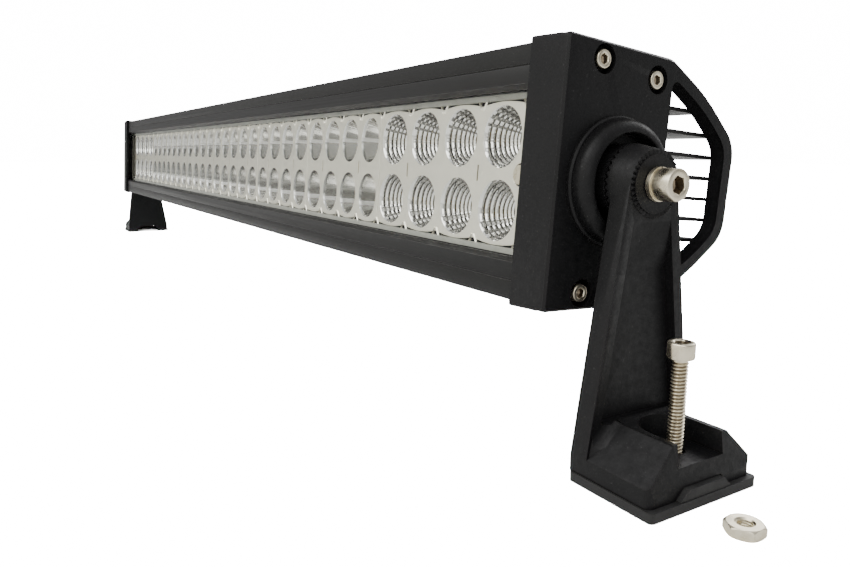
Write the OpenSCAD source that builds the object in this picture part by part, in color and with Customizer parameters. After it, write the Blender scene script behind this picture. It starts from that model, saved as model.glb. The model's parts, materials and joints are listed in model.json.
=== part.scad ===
// LED light bar: a tilting double-row lamp between two footed mounting brackets.
// Units are millimetres. +X runs along the bar, the light shines towards -Y, +Z is up.
// The lamp is drawn about its pivot axis and tilted; each end piece is drawn outward
// along +X from the face of its end cap and mirrored for the left end.

/* [Lamp body] */
// Height of the end caps
cap_h = 82; // [80:0.5:84]
// Depth of the end caps, front face to the back of the fin guard
cap_d = 81; // [79:0.5:83]
// Thickness of the end plate and its fin guard
cap_t = 5; // [4.5:0.1:5.5]
// How far the end-cap skirt wraps along the lamp
skirt_len = 16.8; // [15:0.2:18]
// Distance from the front face back to the pivot axis
pivot_back = 24.1; // [23.5:0.1:25]
// Height of the lamp's middle line above the pivot axis
mid_rise = 0.4; // [0:0.1:1]
// Draft of the end-cap skirt, added to its half height at the inner end
skirt_flare = 0.75; // [0:0.05:1]
// Tilt of the lamp, leaning its face upwards
tilt = 4.5; // [0:0.5:8]

/* [Light] */
// LED columns in the flood section at each end
flood_columns = 4; // [4:1:4]
// Column pitch in the flood sections
flood_pitch = 25.2; // [24.8:0.1:26]
// Number of spot reflector modules in the middle
spot_modules = 6; // [2:1:8]
// LED columns in one spot module
spot_columns = 4; // [4:1:4]
// Column pitch in the spot section
spot_pitch = 21.1; // [20.8:0.1:22]
// Distance between the two LED rows
row_pitch = 25.2; // [24.6:0.1:25.4]
// Height of the clear lens opening
lens_open_h = 53.4; // [52:0.2:54]

/* [Fins] */
// Number of cooling fins
fin_count = 8; // [6:2:8]
// Spacing of the fins
fin_pitch = 7.3; // [7:0.1:7.4]
// Fin thickness
fin_t = 1.3; // [1:0.1:1.8]

/* [Bracket] */
// Height of the pivot axis above the mounting surface
pivot_h = 89.3; // [86:0.1:95]
// Inner face of the leg, measured outward from the end cap
leg_in = 8.9; // [8.8:0.1:10]
// Outer edge of the leg's rims
leg_out = 15.7; // [15:0.1:15.7]
// Outer face of the foot at its base
foot_out = 39.3; // [38:0.1:40]
// Width of the foot along Y
foot_w = 44.6; // [43:0.1:46]
// Height of the foot's flat top above the mounting surface
foot_top = 18.9; // [18.5:0.1:20]
// Floor of the bolt pocket above the mounting surface
pocket_floor = 12.1; // [11.5:0.1:12.5]
// Thickness of the rubber pad
pad_t = 3.1; // [2.5:0.1:3.5]
// Teeth on each serrated face
teeth = 36; // [24:4:40]

/* [Hardware] */
// Mounting bolt position, outward from the end cap
bolt_x = 28.9; // [28:0.1:29.5]
// Mounting bolt shank diameter
bolt_d = 4.83; // [4.5:0.01:5]
// Mounting bolt length under its head
bolt_len = 31.75; // [30:0.25:33]
// Height of the mounting bolt's tip above the mounting surface
bolt_tip = 8.4; // [7:0.1:9]
// Pivot bolt shank diameter
pivot_d = 6.35; // [6:0.05:6.35]

/* [Hidden] */
$fn = 72;

// Lamp length and the ends of its parts
end_inset = 26.5;                       // end face to the first reflector cell
flood_len = flood_columns * flood_pitch;
spot_len = spot_columns * spot_pitch;
lamp_len = 2 * (end_inset + flood_len) + spot_modules * spot_len;
half_len = lamp_len / 2;
gasket_t = 1;
body_half = half_len - cap_t - gasket_t;

// Cross-section places: v is back from the front face, w is up from the middle
half_h = cap_h / 2;
rail_v = 2.2;                           // front of the rails
lens_v = 5.2;                           // front of the lens
lens_t = 3;
cup_v = 8.9;                            // front of the reflector plate
cup_depth = 13.4;
board_v = 23;                           // front of the LED boards
board_t = 1.6;
web_v = board_v + board_t;
web_t = 4.2;
rear_v = 41;                            // inner face of the rear wall
fin_root_v = 44;
plate_end_v = 45.4;                     // rear edge of the closed end plate
top_slope = 1.4 / 45;                   // fall of the top edge towards the back
body_half_h = half_h - 0.5;
open_half = lens_open_h / 2;
cavity_half = 24;
lens_half = open_half + 2;
board_screw_w = 19.8;

// Where the lamp sits in the part's frame
ct = cos(tilt);
st = sin(tilt);
corner_r = 1.2;
back_r = 12;
back_w = 16.2;                          // corner between the back and the slope
// Foremost and rearmost points of the tilted lamp, which centre the part along Y
slope_v = 64;
slope_w = 30;
front_w = mid_rise - half_h - skirt_flare + corner_r;
front_y = -(pivot_back - corner_r) * ct + front_w * st - corner_r;
back_edge = unit([slope_v, slope_w] - [cap_d, back_w]);
back_turn = acos(back_edge * [0, -1]) / 2;
back_arc_w = back_w - back_r / tan(back_turn);
back_y = (cap_d - pivot_back - back_r) * ct + (back_arc_w + mid_rise) * st + back_r;
pivot_y = -(front_y + back_y) / 2;

// Pivot boss, barrel and bolts, outward from the end face
ring_r = 20;
cup_r = 18.9;
cup_top = 6.8;
cup_in_r = 14.9;
hub_r = 11.6;
tooth_h = 0.8;
tooth_len = 1.3;
hub_top = 7.2;
mesh_gap = 0.3;
barrel_in = hub_top + mesh_gap;
barrel_out = 16.2;
barrel_out_r = 9.95;
washer_t = 1.4;
bore_r = pivot_d / 2 + 0.06;
head_d = 9.53;
head_h = 6.35;

// End-cap screws
screw_d = 3.5;
screw_head_d = 5.74;
screw_head_h = 3.5;
screw_recess_d = 8.8;
screw_recess = 3.6;
screw_len = 16;
screw_spots = [[14.6, 35.2], [38.2, 32.2], [14.6, -35.2], [38.2, -32.2]];

// Cable gland and vent on the back, at the middle of the bar
gland_boss_v = 50;
gland_bore_r = 3.6;
vent_x = 24;

// Reflector outline
plate_t = 1.2;
plate_half = 24.4;

// ---------- geometry helpers ----------

function unit(v) = v / norm(v);

// The arc of radius r that rounds the corner p1 between p0 and p2
function corner(p0, p1, p2, r, n) =
    r == 0 ? [p1] :
    let (
        u = unit(p0 - p1),
        w = unit(p2 - p1),
        half = acos(u * w) / 2,
        c = p1 + unit(u + w) * r / sin(half),
        s = p1 + u * r / tan(half) - c,
        e = p1 + w * r / tan(half) - c,
        a0 = atan2(s[1], s[0]),
        turn = atan2(s[0] * e[1] - s[1] * e[0], s * e)
    )
    [for (i = [0:n]) c + r * [cos(a0 + turn * i / n), sin(a0 + turn * i / n)]];

// A polygon's points with each corner rounded by its own radius
function rounded(p, r, n = 8) = [
    for (i = [0:len(p) - 1])
        each corner(p[(i + len(p) - 1) % len(p)], p[i], p[(i + 1) % len(p)], r[i], n)
];

// The lower half of an outline that is symmetrical about w = 0
function mirrored(p) = concat(p, [for (i = [len(p) - 1:-1:0]) [p[i][0], -p[i][1]]]);
function twice(r) = concat(r, [for (i = [len(r) - 1:-1:0]) r[i]]);

// Places the lamp, which is drawn about its pivot axis
module lamp_place() {
    translate([0, pivot_y, pivot_h]) rotate([-tilt, 0, 0]) children();
}

// Places a bracket, which stands upright under the pivot axis
module bracket_place(side) {
    mirror([side == "left" ? 1 : 0, 0, 0]) translate([half_len, pivot_y, 0]) children();
}

// Places a lamp end piece, which is drawn outward from the right end face
module end_place(side) {
    lamp_place() mirror([side == "left" ? 1 : 0, 0, 0]) translate([half_len, 0, 0]) children();
}

// Extrudes a (v, w) outline along X from x0 to x1
module section(x0, x1) {
    translate([x0, -pivot_back, mid_rise]) rotate([90, 0, 90]) linear_extrude(x1 - x0) children();
}

// A cylinder along X through the point (v, w)
module x_rod(x0, x1, r, v = pivot_back, w = -mid_rise, r2 = undef) {
    translate([x0, v - pivot_back, w + mid_rise])
        rotate([0, 90, 0])
            cylinder(r1 = r, r2 = r2 == undef ? r : r2, h = x1 - x0);
}

// A cylinder that runs back along v from the point (x, w)
module v_rod(v0, v1, r, x, w, fn = 72) {
    translate([x, v0 - pivot_back, w + mid_rise]) rotate([-90, 0, 0]) cylinder(r = r, h = v1 - v0, $fn = fn);
}

// A block between two corners given as (x, v, w)
module block(a, b) {
    translate([a[0], a[1] - pivot_back, a[2] + mid_rise]) cube(b - a);
}

// Hexagonal prism along +Z, sized across its flats
module hex(af, h) {
    cylinder(d = af / cos(30), h = h, $fn = 6);
}

// Socket-head screw whose head's underside is at z = 0, shank downward
module socket_screw(d, length, dk, k, af) {
    chamfer = 0.35;
    difference() {
        union() {
            cylinder(d = dk, h = k - chamfer);
            translate([0, 0, k - chamfer]) cylinder(d1 = dk, d2 = dk - 2 * chamfer, h = chamfer);
            translate([0, 0, -length + 0.6]) cylinder(d = d, h = length - 0.6);
            translate([0, 0, -length]) cylinder(d1 = d - 1.2, d2 = d, h = 0.6);
        }
        translate([0, 0, k / 2]) hex(af, k);
    }
}

// A ring of radial V-grooves cut into the rim of a face at z = 0, opening towards +Z
module tooth_cuts(r_out) {
    half = r_out * sin(180 / teeth) * 0.9;
    for (i = [0:teeth - 1]) {
        rotate([0, 0, i * 360 / teeth])
            translate([r_out - tooth_len, 0, 0])
                rotate([90, 0, 90])
                    linear_extrude(tooth_len + 0.1)
                        polygon([[-half, 0.01], [0, -tooth_h], [half, 0.01]]);
    }
}

// ---------- lamp body ----------

// Half outline of the end cap, front top corner round to the back
cap_half = [[0, half_h], [45, half_h - 1.4], [slope_v, slope_w], [cap_d, back_w]];
cap_r = [corner_r, 10, 80, back_r];
cap_outline = rounded(mirrored(cap_half), twice(cap_r));

// Opening between the end plate and the guard arch
guard_half = [[plate_end_v + 0.3, 33.4], [63, 24.2], [74.9, 13.6]];
guard_outline = rounded(mirrored(guard_half), twice([2.2, 80, 9]));

function shrink(p, c, d) = [for (q = p) let (k = q - c) c + k * (norm(k) - d) / norm(k)];

// The height of the housing's top surface at the depth v
function body_w(v) = body_half_h - v * top_slope;

// Length of a fin at height w, kept behind the guard arch
function fin_tip(w) = w > 30 ? 55.5 : w > 22 ? 66.5 : w > 15 ? 75.5 : 77.8;

module body_outline() {
    polygon(rounded(mirrored([[rail_v, body_w(rail_v)], [fin_root_v, body_w(fin_root_v)]]),
                    twice([0.5, 3]), 4));
}

// The lamp's two inner spaces, the lens grooves and the hollow rails
module body_cavities() {
    recess = 1.4;
    polygon([[rail_v - 1, -open_half - recess], [rail_v, -open_half - recess],
             [lens_v - 0.9, -open_half], [web_v, -open_half], [web_v, open_half],
             [lens_v - 0.9, open_half], [rail_v, open_half + recess], [rail_v - 1, open_half + recess]]);
    translate([lens_v - 0.1, -lens_half - 0.1]) square([lens_t + 0.2, 2 * lens_half + 0.2]);
    translate([web_v + web_t, -cavity_half]) square([rear_v - web_v - web_t, 2 * cavity_half]);
    for (s = [-1, 1]) {
        translate([19, s > 0 ? 30 : -36.5]) square([14.5, 6.5]);
        // fine line along the front of each rail
        translate([rail_v - 0.1, s * 33.8 - 0.3]) square([0.6, 0.6]);
    }
    for (p = screw_spots) {
        translate(p) circle(d = screw_d + 0.1, $fn = 32);
    }
}

module fins() {
    for (i = [0:fin_count - 1]) {
        w = (i - (fin_count - 1) / 2) * fin_pitch;
        translate([fin_root_v - 0.5, w - fin_t / 2]) square([fin_tip(abs(w)) - fin_root_v + 0.5, fin_t]);
    }
    for (s = [-1, 1]) {
        w = s * (fin_count + 1) / 2 * fin_pitch;
        translate([fin_root_v - 0.5, w - fin_t / 2]) square([fin_tip(abs(w)) - fin_root_v + 0.5, fin_t]);
    }
}

module housing() color([0.13, 0.13, 0.14]) lamp_place() {
    difference() {
        union() {
            difference() {
                section(-body_half, body_half) union() { body_outline(); fins(); }
                block([-18, fin_root_v, -15.5], [vent_x + 10, cap_d, 15.5]);
            }
            block([-16, fin_root_v - 1, -14.5], [vent_x + 8, gland_boss_v, 14.5]);
        }
        section(-body_half - 1, body_half + 1) body_cavities();
        v_rod(rear_v - 1, gland_boss_v + 1, 6.05, 0, 0);
        v_rod(rear_v - 1, gland_boss_v + 1, 2.55, vent_x, 0);
        for (x = [-flood_x - flood_len / 2, flood_x + flood_len / 2]) {
            web_holes(x);
        }
        for (i = [1:spot_modules]) {
            web_holes(spot_x(i) + spot_len / 2);
        }
    }
}

// Blind threaded holes in the web for the screws of one LED board
module web_holes(x) {
    for (s = [-1, 1]) {
        v_rod(web_v - 0.5, web_v + 3.4, 1.6, x, s * board_screw_w, 32);
    }
}

// Lens and its bead of silicone stop where the end-cap gaskets begin
lens_end = body_half - 0.4;

module lens() color([0.85, 0.9, 0.95, 0.35]) lamp_place()
    block([-lens_end, lens_v, -lens_half], [lens_end, lens_v + lens_t, lens_half]);

module lens_seal() color([0.55, 0.55, 0.52]) lamp_place() {
    back = lens_v + lens_t + 0.1;
    end_bar = 1.9;
    difference() {
        block([-lens_end, back, -open_half + 0.05], [lens_end, back + 1.8, open_half - 0.05]);
        block([-lens_end + end_bar, back - 1, -open_half + 2], [lens_end - end_bar, back + 3, open_half - 2]);
    }
}

// ---------- reflectors and boards ----------

// Parabola-like cup profile from its rim to the LED hole, as (radius, depth)
function cup_points(rim, hole, t) = [
    for (i = [0:5]) let (f = i / 5) [hole + (rim - hole) * sqrt(1 - f * 0.999) + t, f * cup_depth]
];

module cup(rim, t) {
    p = cup_points(rim, 3.2, t);
    rotate([-90, 0, 0])
        rotate_extrude($fn = 48)
            polygon(concat([[0, t > 0 ? 0.1 : -1], [p[0][0], t > 0 ? 0.1 : -1]], p,
                           [[p[5][0], cup_depth + (t > 0 ? 0 : 1)], [0, cup_depth + (t > 0 ? 0 : 1)]]));
}

// One reflector module: a thin plate with two rows of cups, from x0 towards +X.
// Clip legs on the middle line stand on the LED board, each below a slit in the plate.
module reflector(x0, columns, pitch, rim) {
    gap = 0.2;
    difference() {
        union() {
            block([x0 + gap, cup_v, -plate_half], [x0 + columns * pitch - gap, cup_v + plate_t, plate_half]);
            cups(x0, columns, pitch, rim, 0.9);
            for (c = [1, columns - 1]) {
                x = x0 + c * pitch;
                block([x - 1.3, cup_v, -2.8], [x + 1.3, board_v - 0.05, 2.8]);
            }
        }
        cups(x0, columns, pitch, rim, 0);
        for (c = [1, columns - 1]) {
            x = x0 + c * pitch;
            block([x - 0.5, cup_v - 1, -2.8], [x + 0.5, cup_v + 6, 2.8]);
        }
    }
}

module cups(x0, columns, pitch, rim, t) {
    for (c = [0:columns - 1], s = [-1, 1]) {
        translate([x0 + (c + 0.5) * pitch, cup_v - pivot_back, s * row_pitch / 2 + mid_rise]) cup(rim, t);
    }
}

// The left end of each module along X, and the screw that holds an end module
flood_x = half_len - end_inset - flood_len;
end_screw_x = half_len - 27.6;
function spot_x(i) = -spot_modules * spot_len / 2 + (i - 1) * spot_len;

// The end modules have a longer plate that runs on behind the end cap, with one screw
module flood_reflector(side) color([0.84, 0.83, 0.8]) lamp_place()
    mirror([side == "left" ? 1 : 0, 0, 0])
        difference() {
            union() {
                reflector(flood_x, flood_columns, flood_pitch, 10.4);
                block([end_screw_x + 1, cup_v, -plate_half], [lens_end - 2.2, cup_v + plate_t, plate_half]);
                v_rod(cup_v + 0.1, board_v - 0.05, 3.4, end_screw_x, 0, 32);
            }
            v_rod(cup_v - 1, board_v + 1, 1.6, end_screw_x, 0, 32);
        }

module spot_reflector(i) color([0.84, 0.83, 0.8]) lamp_place()
    reflector(spot_x(i), spot_columns, spot_pitch, 9.2);

// One pan-head screw holds the outer end of each end module
module reflector_screws() color([0.75, 0.74, 0.7]) lamp_place() {
    for (x = [-end_screw_x, end_screw_x]) {
        v_rod(lens_v + lens_t + 0.15, cup_v, 3.2, x, 0, 32);
        v_rod(cup_v - 0.1, board_v - 1, 1.55, x, 0, 32);
    }
}

module led_board(x0, length) color([0.9, 0.9, 0.88]) lamp_place() {
    gap = 0.3;
    difference() {
        block([x0 + gap, board_v, -22], [x0 + length - gap, board_v + board_t, 22]);
        board_holes(x0 + length / 2);
    }
}

// A hole above and below the middle of each board, for its screws
module board_holes(x) {
    for (s = [-1, 1]) {
        v_rod(board_v - 1, board_v + board_t + 1, 1.6, x, s * board_screw_w, 32);
    }
}

// Screws that hold the LED boards against the web
module board_screws() color([0.75, 0.74, 0.7]) lamp_place() {
    spots = [for (i = [1:spot_modules]) spot_x(i) + spot_len / 2];
    for (x = concat([-flood_x - flood_len / 2, flood_x + flood_len / 2], spots), s = [-1, 1]) {
        v_rod(board_v - 1.4, board_v, 2.6, x, s * board_screw_w, 32);
        v_rod(board_v - 0.1, board_v + 4, 1.55, x, s * board_screw_w, 32);
    }
}

// Every LED: a square base with a small clear dome, one under each cup
module led_emitters() color([0.95, 0.85, 0.3]) lamp_place() {
    for (s = [-1, 1], side = [-1, 1], c = [0:flood_columns - 1]) {
        emitter(side * (flood_x + (c + 0.5) * flood_pitch), s * row_pitch / 2);
    }
    for (s = [-1, 1], c = [0:spot_modules * spot_columns - 1]) {
        emitter(spot_x(1) + (c + 0.5) * spot_pitch, s * row_pitch / 2);
    }
}

module emitter(x, w) {
    v_rod(board_v - 0.7, board_v, 2.6, x, w, 8);
    v_rod(board_v - 1.6, board_v - 0.7, 1.5, x, w, 24);
}

module driver_board() color([0.1, 0.35, 0.2]) lamp_place() {
    v = web_v + web_t + 0.1;
    block([-95, v, -20], [95, v + board_t, 20]);
}

// Chokes, capacitors, switching devices and the supply terminal
module driver_parts() color([0.2, 0.2, 0.22]) lamp_place() {
    v = web_v + web_t + 0.1 + board_t;
    for (x = [-72, -30, 38, 76]) {
        v_rod(v, v + 7, 6.5, x, 9, 32);
        v_rod(v, v + 8, 4, x + 16, -11, 32);
        block([x - 5, v, -14], [x + 5, v + 4.5, -5]);
    }
    block([-8, v, -6], [8, v + 5, 6]);
}

// ---------- gland and vent ----------

module gland_body() color([0.08, 0.08, 0.08]) lamp_place() {
    difference() {
        union() {
            v_rod(rear_v + 0.5, gland_boss_v, 6, 0, 0);
            translate([0, gland_boss_v - pivot_back, mid_rise]) rotate([-90, 0, 0]) hex(17, 5);
            v_rod(gland_boss_v + 5, gland_boss_v + 11, 6.6, 0, 0);
        }
        v_rod(rear_v - 1, gland_boss_v + 7, gland_bore_r, 0, 0);
        v_rod(gland_boss_v + 6.9, gland_boss_v + 12, 5.2, 0, 0);
    }
}

module gland_seal() color([0.15, 0.15, 0.15]) lamp_place() {
    difference() {
        v_rod(gland_boss_v + 7, gland_boss_v + 12.4, 5.1, 0, 0);
        v_rod(gland_boss_v + 6, gland_boss_v + 13, gland_bore_r, 0, 0);
    }
}

module gland_nut() color([0.08, 0.08, 0.08]) lamp_place() {
    dome_v = gland_boss_v + 14.5;
    difference() {
        union() {
            translate([0, gland_boss_v + 5.3 - pivot_back, mid_rise]) rotate([-90, 0, 0]) hex(17, 6);
            translate([0, gland_boss_v + 11.3 - pivot_back, mid_rise])
                rotate([-90, 0, 0])
                    cylinder(r1 = 8.4, r2 = 6, h = dome_v - gland_boss_v - 11.3);
        }
        v_rod(gland_boss_v + 5, gland_boss_v + 12.5, 6.7, 0, 0);
        v_rod(gland_boss_v + 12.4, dome_v + 1, gland_bore_r + 0.4, 0, 0);
    }
}

module vent_plug() color([0.1, 0.1, 0.1]) lamp_place() {
    v_rod(rear_v + 1, gland_boss_v, 2.5, vent_x, 0, 32);
    translate([vent_x, gland_boss_v - pivot_back, mid_rise]) rotate([-90, 0, 0]) hex(9, 2.6);
}

// ---------- end caps ----------

module end_cap(side) color([0.12, 0.12, 0.13]) end_place(side) {
    edge = 0.9;                         // chamfer round the outer face
    mid = [30, 0];
    difference() {
        union() {
            // plate and guard arch, with a chamfered outer edge
            hull() {
                section(-cap_t, -edge) polygon(cap_outline);
                section(-edge, 0) polygon(shrink(cap_outline, mid, edge));
            }
            skirt();
            boss();
        }
        hull() {
            section(-cap_t - 1, -edge) polygon(guard_outline);
            section(-edge, 1) polygon(shrink(guard_outline, [60, 0], -edge));
        }
        for (p = screw_spots) {
            x_rod(-screw_recess, 1, screw_recess_d / 2, p[0], p[1]);
            x_rod(-cap_t - 1, 1, screw_d / 2 + 0.3, p[0], p[1]);
        }
        x_rod(-3.6, hub_top + 1, pivot_d / 2 + 0.02);
        translate([hub_top, 0, 0]) rotate([90, 0, 90]) tooth_cuts(hub_r);
    }
}

// Outline of the skirt where its draft has added to its half height
function skirt_outline(flare) =
    rounded(mirrored([[0, half_h + flare], [plate_end_v, half_h - 1.4 + flare]]), twice([corner_r, 0.6]));

// Skirt that wraps the front, top and bottom of the housing's end
module skirt() {
    wall = 2.1;
    sliver = 0.05;
    difference() {
        hull() {
            section(-skirt_len, sliver - skirt_len) polygon(skirt_outline(skirt_flare));
            section(-cap_t, 0.5 - cap_t) polygon(skirt_outline(skirt_flare * cap_t / skirt_len));
        }
        section(-skirt_len - 1, -cap_t)
            polygon(mirrored([[wall, body_w(wall) + 0.05], [plate_end_v + 5, body_w(plate_end_v + 5) + 0.05]]));
    }
}

// Stepped ring, round-shouldered cup and serrated hub about the pivot axis
module boss() {
    shoulder = concat(
        [[cup_in_r, -1], [cup_in_r, cup_top - 0.7]],
        corner([cup_in_r, cup_top - 3], [cup_in_r, cup_top], [cup_r, cup_top], 0.7, 4),
        corner([cup_in_r, cup_top], [cup_r, cup_top], [cup_r, 0], 3.6, 8),
        [[cup_r, 1.4], [ring_r - 0.5, 1.4], [ring_r, 0.9], [ring_r, -1]]
    );
    rotate([0, 90, 0]) {
        rotate_extrude() polygon(shoulder);
        translate([0, 0, -1]) cylinder(r = hub_r, h = hub_top + 1);
    }
}

module cap_gasket(side) color([0.25, 0.25, 0.25]) end_place(side) {
    difference() {
        section(-cap_t - gasket_t, -cap_t) body_outline();
        section(-cap_t - gasket_t - 1, -cap_t + 1) body_cavities();
    }
}

module cap_screws(side) color([0.78, 0.76, 0.7]) end_place(side)
    for (p = screw_spots) {
        translate([-screw_recess, p[0] - pivot_back, p[1] + mid_rise])
            rotate([0, 90, 0])
                rotate([0, 0, 17 * p[1]])
                    socket_screw(screw_d, screw_len, screw_head_d, screw_head_h, 2.78);
    }

// ---------- pivot hardware ----------

washer_x = barrel_out + mesh_gap;
pivot_head_x = washer_x + washer_t;

module pivot_bolt(side) color([0.78, 0.76, 0.7]) end_place(side)
    translate([pivot_head_x, 0, 0])
        rotate([0, 90, 0])
            rotate([0, 0, 12])
                socket_screw(pivot_d, 19.05, head_d, head_h, 4.76);

// Split spring washer
module pivot_washer(side) color([0.75, 0.73, 0.68]) end_place(side) {
    difference() {
        x_rod(washer_x, pivot_head_x, 5.05);
        x_rod(washer_x - 1, pivot_head_x + 1, bore_r);
        translate([washer_x - 1, 0, 3]) rotate([20, 0, 0]) cube([washer_t + 2, 0.5, 4]);
    }
}

// ---------- bracket ----------

foot_half = foot_w / 2;
leg_base_z = pad_t - pivot_h;           // underside of the metal foot, from the pivot axis
leg_top_half = 10.1;
shoulder_z = 8.5;                       // height where the foot's sides begin to slope
top_half = 11.6;
pocket_half = 9.6;
pocket_cx = foot_out - 11.6;
channel_top = 6.6;
panel_x = 12.3;                         // floor of the leg's recess
rim_w = 3.8;
gusset_r = 3.4;
slot_half = 2.75;
slot_len = 12;

// Half width of the leg at a height above the mounting surface
function leg_half(z) = foot_half + (leg_top_half - foot_half) * (z - shoulder_z) / (pivot_h - shoulder_z);

// Extrudes a (y, z) outline along X from x0 to x1
module slab(x0, x1) {
    translate([x0, 0, 0]) rotate([90, 0, 90]) linear_extrude(x1 - x0) children();
}

module bracket(side) color([0.12, 0.12, 0.13]) bracket_place(side) {
    difference() {
        union() {
            slab(leg_in, leg_out)
                polygon([[-foot_half, pad_t], [-foot_half, shoulder_z], [-leg_half(pivot_h), pivot_h],
                         [leg_half(pivot_h), pivot_h], [foot_half, shoulder_z], [foot_half, pad_t]]);
            translate([barrel_in, 0, pivot_h])
                rotate([0, 90, 0])
                    cylinder(r1 = 11.8, r2 = barrel_out_r, h = barrel_out - barrel_in);
            foot_block();
        }
        leg_recess();
        pocket();
        slab(leg_in - 1, foot_out + 1)
            polygon([[-11.5, pad_t - 0.1], [-8.2, channel_top], [8.2, channel_top], [11.5, pad_t - 0.1]]);
        translate([0, 0, pivot_h]) rotate([0, 90, 0]) cylinder(r = bore_r, h = barrel_out + 1);
        translate([barrel_in, 0, pivot_h]) rotate([90, 0, -90]) tooth_cuts(11.8);
        translate([barrel_out, 0, pivot_h]) rotate([90, 0, 90]) tooth_cuts(barrel_out_r);
    }
}

// Sloping block of the foot, its outer face drawn in towards the top
module foot_block() {
    lean = 8.5;
    difference() {
        union() {
            slab(leg_in, foot_out)
                polygon(rounded([[-foot_half, pad_t], [-foot_half, shoulder_z], [-top_half, foot_top],
                                 [top_half, foot_top], [foot_half, shoulder_z], [foot_half, pad_t]],
                                [0, 1, 1, 1, 1, 0], 4));
            // fillet between the leg and the top of the foot
            translate([0, top_half - 0.6, 0])
                rotate([90, 0, 0])
                    linear_extrude(2 * top_half - 1.2)
                        polygon(concat([[panel_x - 1, foot_top - 1], [panel_x - 1, foot_top + 7.5]],
                                       corner([panel_x, foot_top + 7.5], [panel_x, foot_top],
                                              [panel_x + 7.5, foot_top], 7.4, 8),
                                       [[panel_x + 7.5, foot_top - 1]]));
            gussets();
        }
        translate([foot_out, -foot_w, pad_t + 3]) rotate([0, -lean, 0]) cube([10, 2 * foot_w, 40]);
        // rounded upright corners at the outer end
        difference() {
            translate([foot_out - 5, -foot_w, 0]) cube([12, 2 * foot_w, 40]);
            translate([0, 0, -1])
                linear_extrude(45)
                    polygon(rounded([[0, -foot_half], [foot_out, -foot_half], [foot_out, foot_half],
                                     [0, foot_half]], [0, 2.4, 2.4, 0], 6));
        }
    }
}

// Concave fillets in the corners between the leg's rims and the foot's sloping sides
module gussets() {
    run = [foot_half - top_half, foot_top - shoulder_z];
    for (s = [-1, 1]) {
        translate([leg_out, s * foot_half, shoulder_z])
            rotate([s * (90 - atan2(run[1], run[0])), 0, 0])
                translate([0, 0, 1.5])
                    mirror([0, s > 0 ? 1 : 0, 0])
                        difference() {
                            linear_extrude(norm(run) - 1.5)
                                polygon(concat([[-1, 1], [-1, -gusset_r]],
                                               corner([0, -gusset_r], [0, 0], [gusset_r, 0], gusset_r - 0.05, 8),
                                               [[gusset_r, 1]]));
                            // its lower end runs out into the leg
                            rotate([0, 0, -45])
                                translate([0, -10, -0.1])
                                    rotate([0, 25, 0]) cube([10, 20, 14]);
                        }
    }
}

// Panel sunk into the outer side of the leg, running out below the pivot barrel
module leg_recess() {
    low = foot_top - 0.5;
    high = pivot_h - 9;
    intersection() {
        slab(panel_x, leg_out + 1)
            polygon(rounded([[-leg_half(low) + rim_w, low], [-leg_half(high) + rim_w, high],
                             [leg_half(high) - rim_w, high], [leg_half(low) - rim_w, low]], [1, 3, 3, 1], 4));
        translate([0, foot_w, 0])
            rotate([90, 0, 0])
                linear_extrude(2 * foot_w)
                    polygon([[panel_x - 1, 0], [panel_x, low], [panel_x, pivot_h - 26],
                             [leg_out + 0.2, pivot_h - 10], [leg_out + 2, pivot_h - 10], [leg_out + 2, 0]]);
    }
}

// Round-ended pocket for the bolt head, open towards the outside, with a slot in its floor
module pocket() {
    depth = foot_top - pocket_floor + 1;
    translate([pocket_cx, 0, pocket_floor]) cylinder(r = pocket_half, h = depth + 6);
    translate([pocket_cx, -pocket_half, pocket_floor]) cube([20, 2 * pocket_half, depth + 6]);
    slot_c = bolt_x - slot_len / 2 + slot_half + 0.6;
    reach = slot_len / 2 - slot_half;
    for (s = [-1, 1]) {
        translate([slot_c + s * reach, 0, pad_t - 1]) cylinder(r = slot_half, h = 12);
    }
    translate([slot_c - reach, -slot_half, pad_t - 1]) cube([2 * reach, 2 * slot_half, 12]);
}

// Rubber pad: open towards the lamp, with a keying tab on its outer edge
module foot_pad(side) color([0.1, 0.1, 0.1]) bracket_place(side) {
    inner = leg_in;
    outer = foot_out + 1.9;
    half = foot_half + 0.6;
    difference() {
        union() {
            translate([0, 0, 0])
                linear_extrude(pad_t)
                    polygon(rounded([[inner, -half], [outer, -half], [outer, half], [inner, half]],
                                    [1.5, 1.5, 1.5, 1.5], 4));
            slab(outer - 5, outer - 0.3)
                polygon([[-10.9, pad_t - 0.5], [-10.9, pad_t + 0.2], [-7.8, channel_top - 0.3],
                         [7.8, channel_top - 0.3], [10.9, pad_t + 0.2], [10.9, pad_t - 0.5]]);
        }
        translate([inner - 1, -11.4, -1]) cube([bolt_x + 5 - inner, 22.8, pad_t + 5]);
    }
}

// ---------- mounting hardware ----------

module mount_bolt(side) color([0.78, 0.76, 0.7]) bracket_place(side)
    translate([bolt_x, 0, bolt_tip + bolt_len]) socket_screw(bolt_d, bolt_len, 7.92, 4.83, 3.97);

module mount_nut(side) color([0.78, 0.76, 0.7]) bracket_place(side)
    translate([56.2, -4.6, 0])
        rotate([0, 0, 28])
            difference() {
                nut_t = 3.2;
                intersection() {
                    hex(9.53, nut_t);
                    union() {
                        cylinder(d1 = 9.4, d2 = 11.2, h = 0.6);
                        translate([0, 0, 0.6]) cylinder(d = 11.2, h = nut_t - 1.2);
                        translate([0, 0, nut_t - 0.6]) cylinder(d1 = 11.2, d2 = 9.4, h = 0.6);
                    }
                }
                translate([0, 0, -1]) cylinder(d = 4.3, h = 6);
                translate([0, 0, nut_t - 0.5]) cylinder(d1 = 4.3, d2 = 5.4, h = 0.51);
            }

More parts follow.
